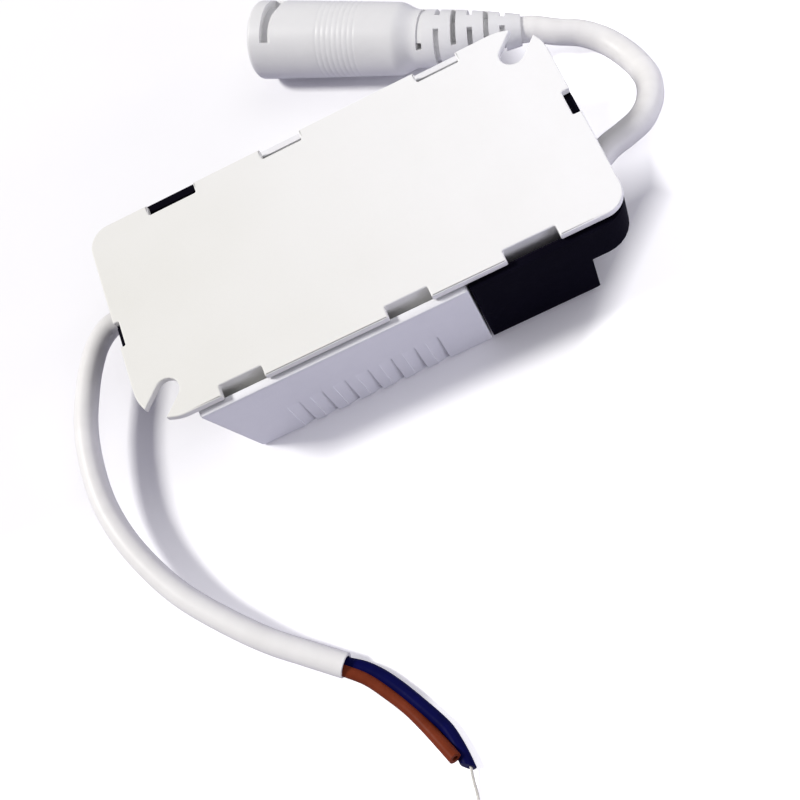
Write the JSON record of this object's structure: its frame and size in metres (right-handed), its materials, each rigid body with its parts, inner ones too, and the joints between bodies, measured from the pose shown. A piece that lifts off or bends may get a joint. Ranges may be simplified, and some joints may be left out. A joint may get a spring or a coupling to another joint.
{
  "type": "led driver",
  "caption": "Flat snap-fit case of a constant-current lighting driver, with a short mains cord and an output cord that ends in a DC socket.",
  "frame": {"origin": "on the lid's outer face, at the middle of the case, with the driver lying on its lid and its base plate up", "axes": "+X along the case towards the output cord, +Y across it, +Z out of the base plate"},
  "size_m": [0.1212, 0.1523, 0.0211],
  "materials": {
    "plate_plastic": "fine matt moulding",
    "case_plastic": "satin moulding",
    "black_plastic": "satin moulding",
    "screw_steel": "zinc plated",
    "white_sheath": "soft satin",
    "brown_insulation": "satin",
    "blue_insulation": "satin",
    "red_insulation": "satin",
    "black_insulation": "satin",
    "tinned_copper": "tinned strands",
    "white_moulding": "glossy overmoulding",
    "nickel_plate": "nickel plated",
    "board_laminate": "solder mask",
    "terminal_plastic": "moulded",
    "fuse_body": "sleeved",
    "varistor_coating": "dipped",
    "film_case": "moulded",
    "ferrite": "sintered",
    "chip_plastic": "moulded",
    "can_sleeve": "shrink sleeve",
    "coil_tape": "film tape"
  },
  "bodies": {
    "root": {"base_plate": "plate_plastic", "housing": "case_plastic", "input_terminal_cover": "black_plastic", "output_terminal_cover": "black_plastic", "input_cord_clamp": "black_plastic", "output_cord_clamp": "black_plastic", "input_clamp_screw_1": "screw_steel", "input_clamp_screw_2": "screw_steel", "output_clamp_screw_1": "screw_steel", "output_clamp_screw_2": "screw_steel", "input_cord": "white_sheath", "output_cord": "white_sheath", "input_live_core": "brown_insulation", "input_neutral_core": "blue_insulation", "neutral_strands": "tinned_copper", "input_live_lead": "brown_insulation", "input_neutral_lead": "blue_insulation", "output_positive_lead": "red_insulation", "output_negative_lead": "black_insulation", "connector_body": "white_moulding", "connector_sleeve": "nickel_plate", "connector_pin": "nickel_plate", "connector_insulator": "black_plastic", "circuit_board": "board_laminate", "input_terminal_block": "terminal_plastic", "output_terminal_block": "terminal_plastic", "fuse": "fuse_body", "varistor": "varistor_coating", "filter_capacitor": "film_case", "filter_inductor": "ferrite", "bridge_rectifier": "chip_plastic", "bulk_capacitor": "can_sleeve", "controller_chip": "chip_plastic", "transformer_core": "ferrite", "transformer_coil": "coil_tape", "output_diode": "chip_plastic", "output_capacitor": "can_sleeve"}
  },
  "joints": []
}
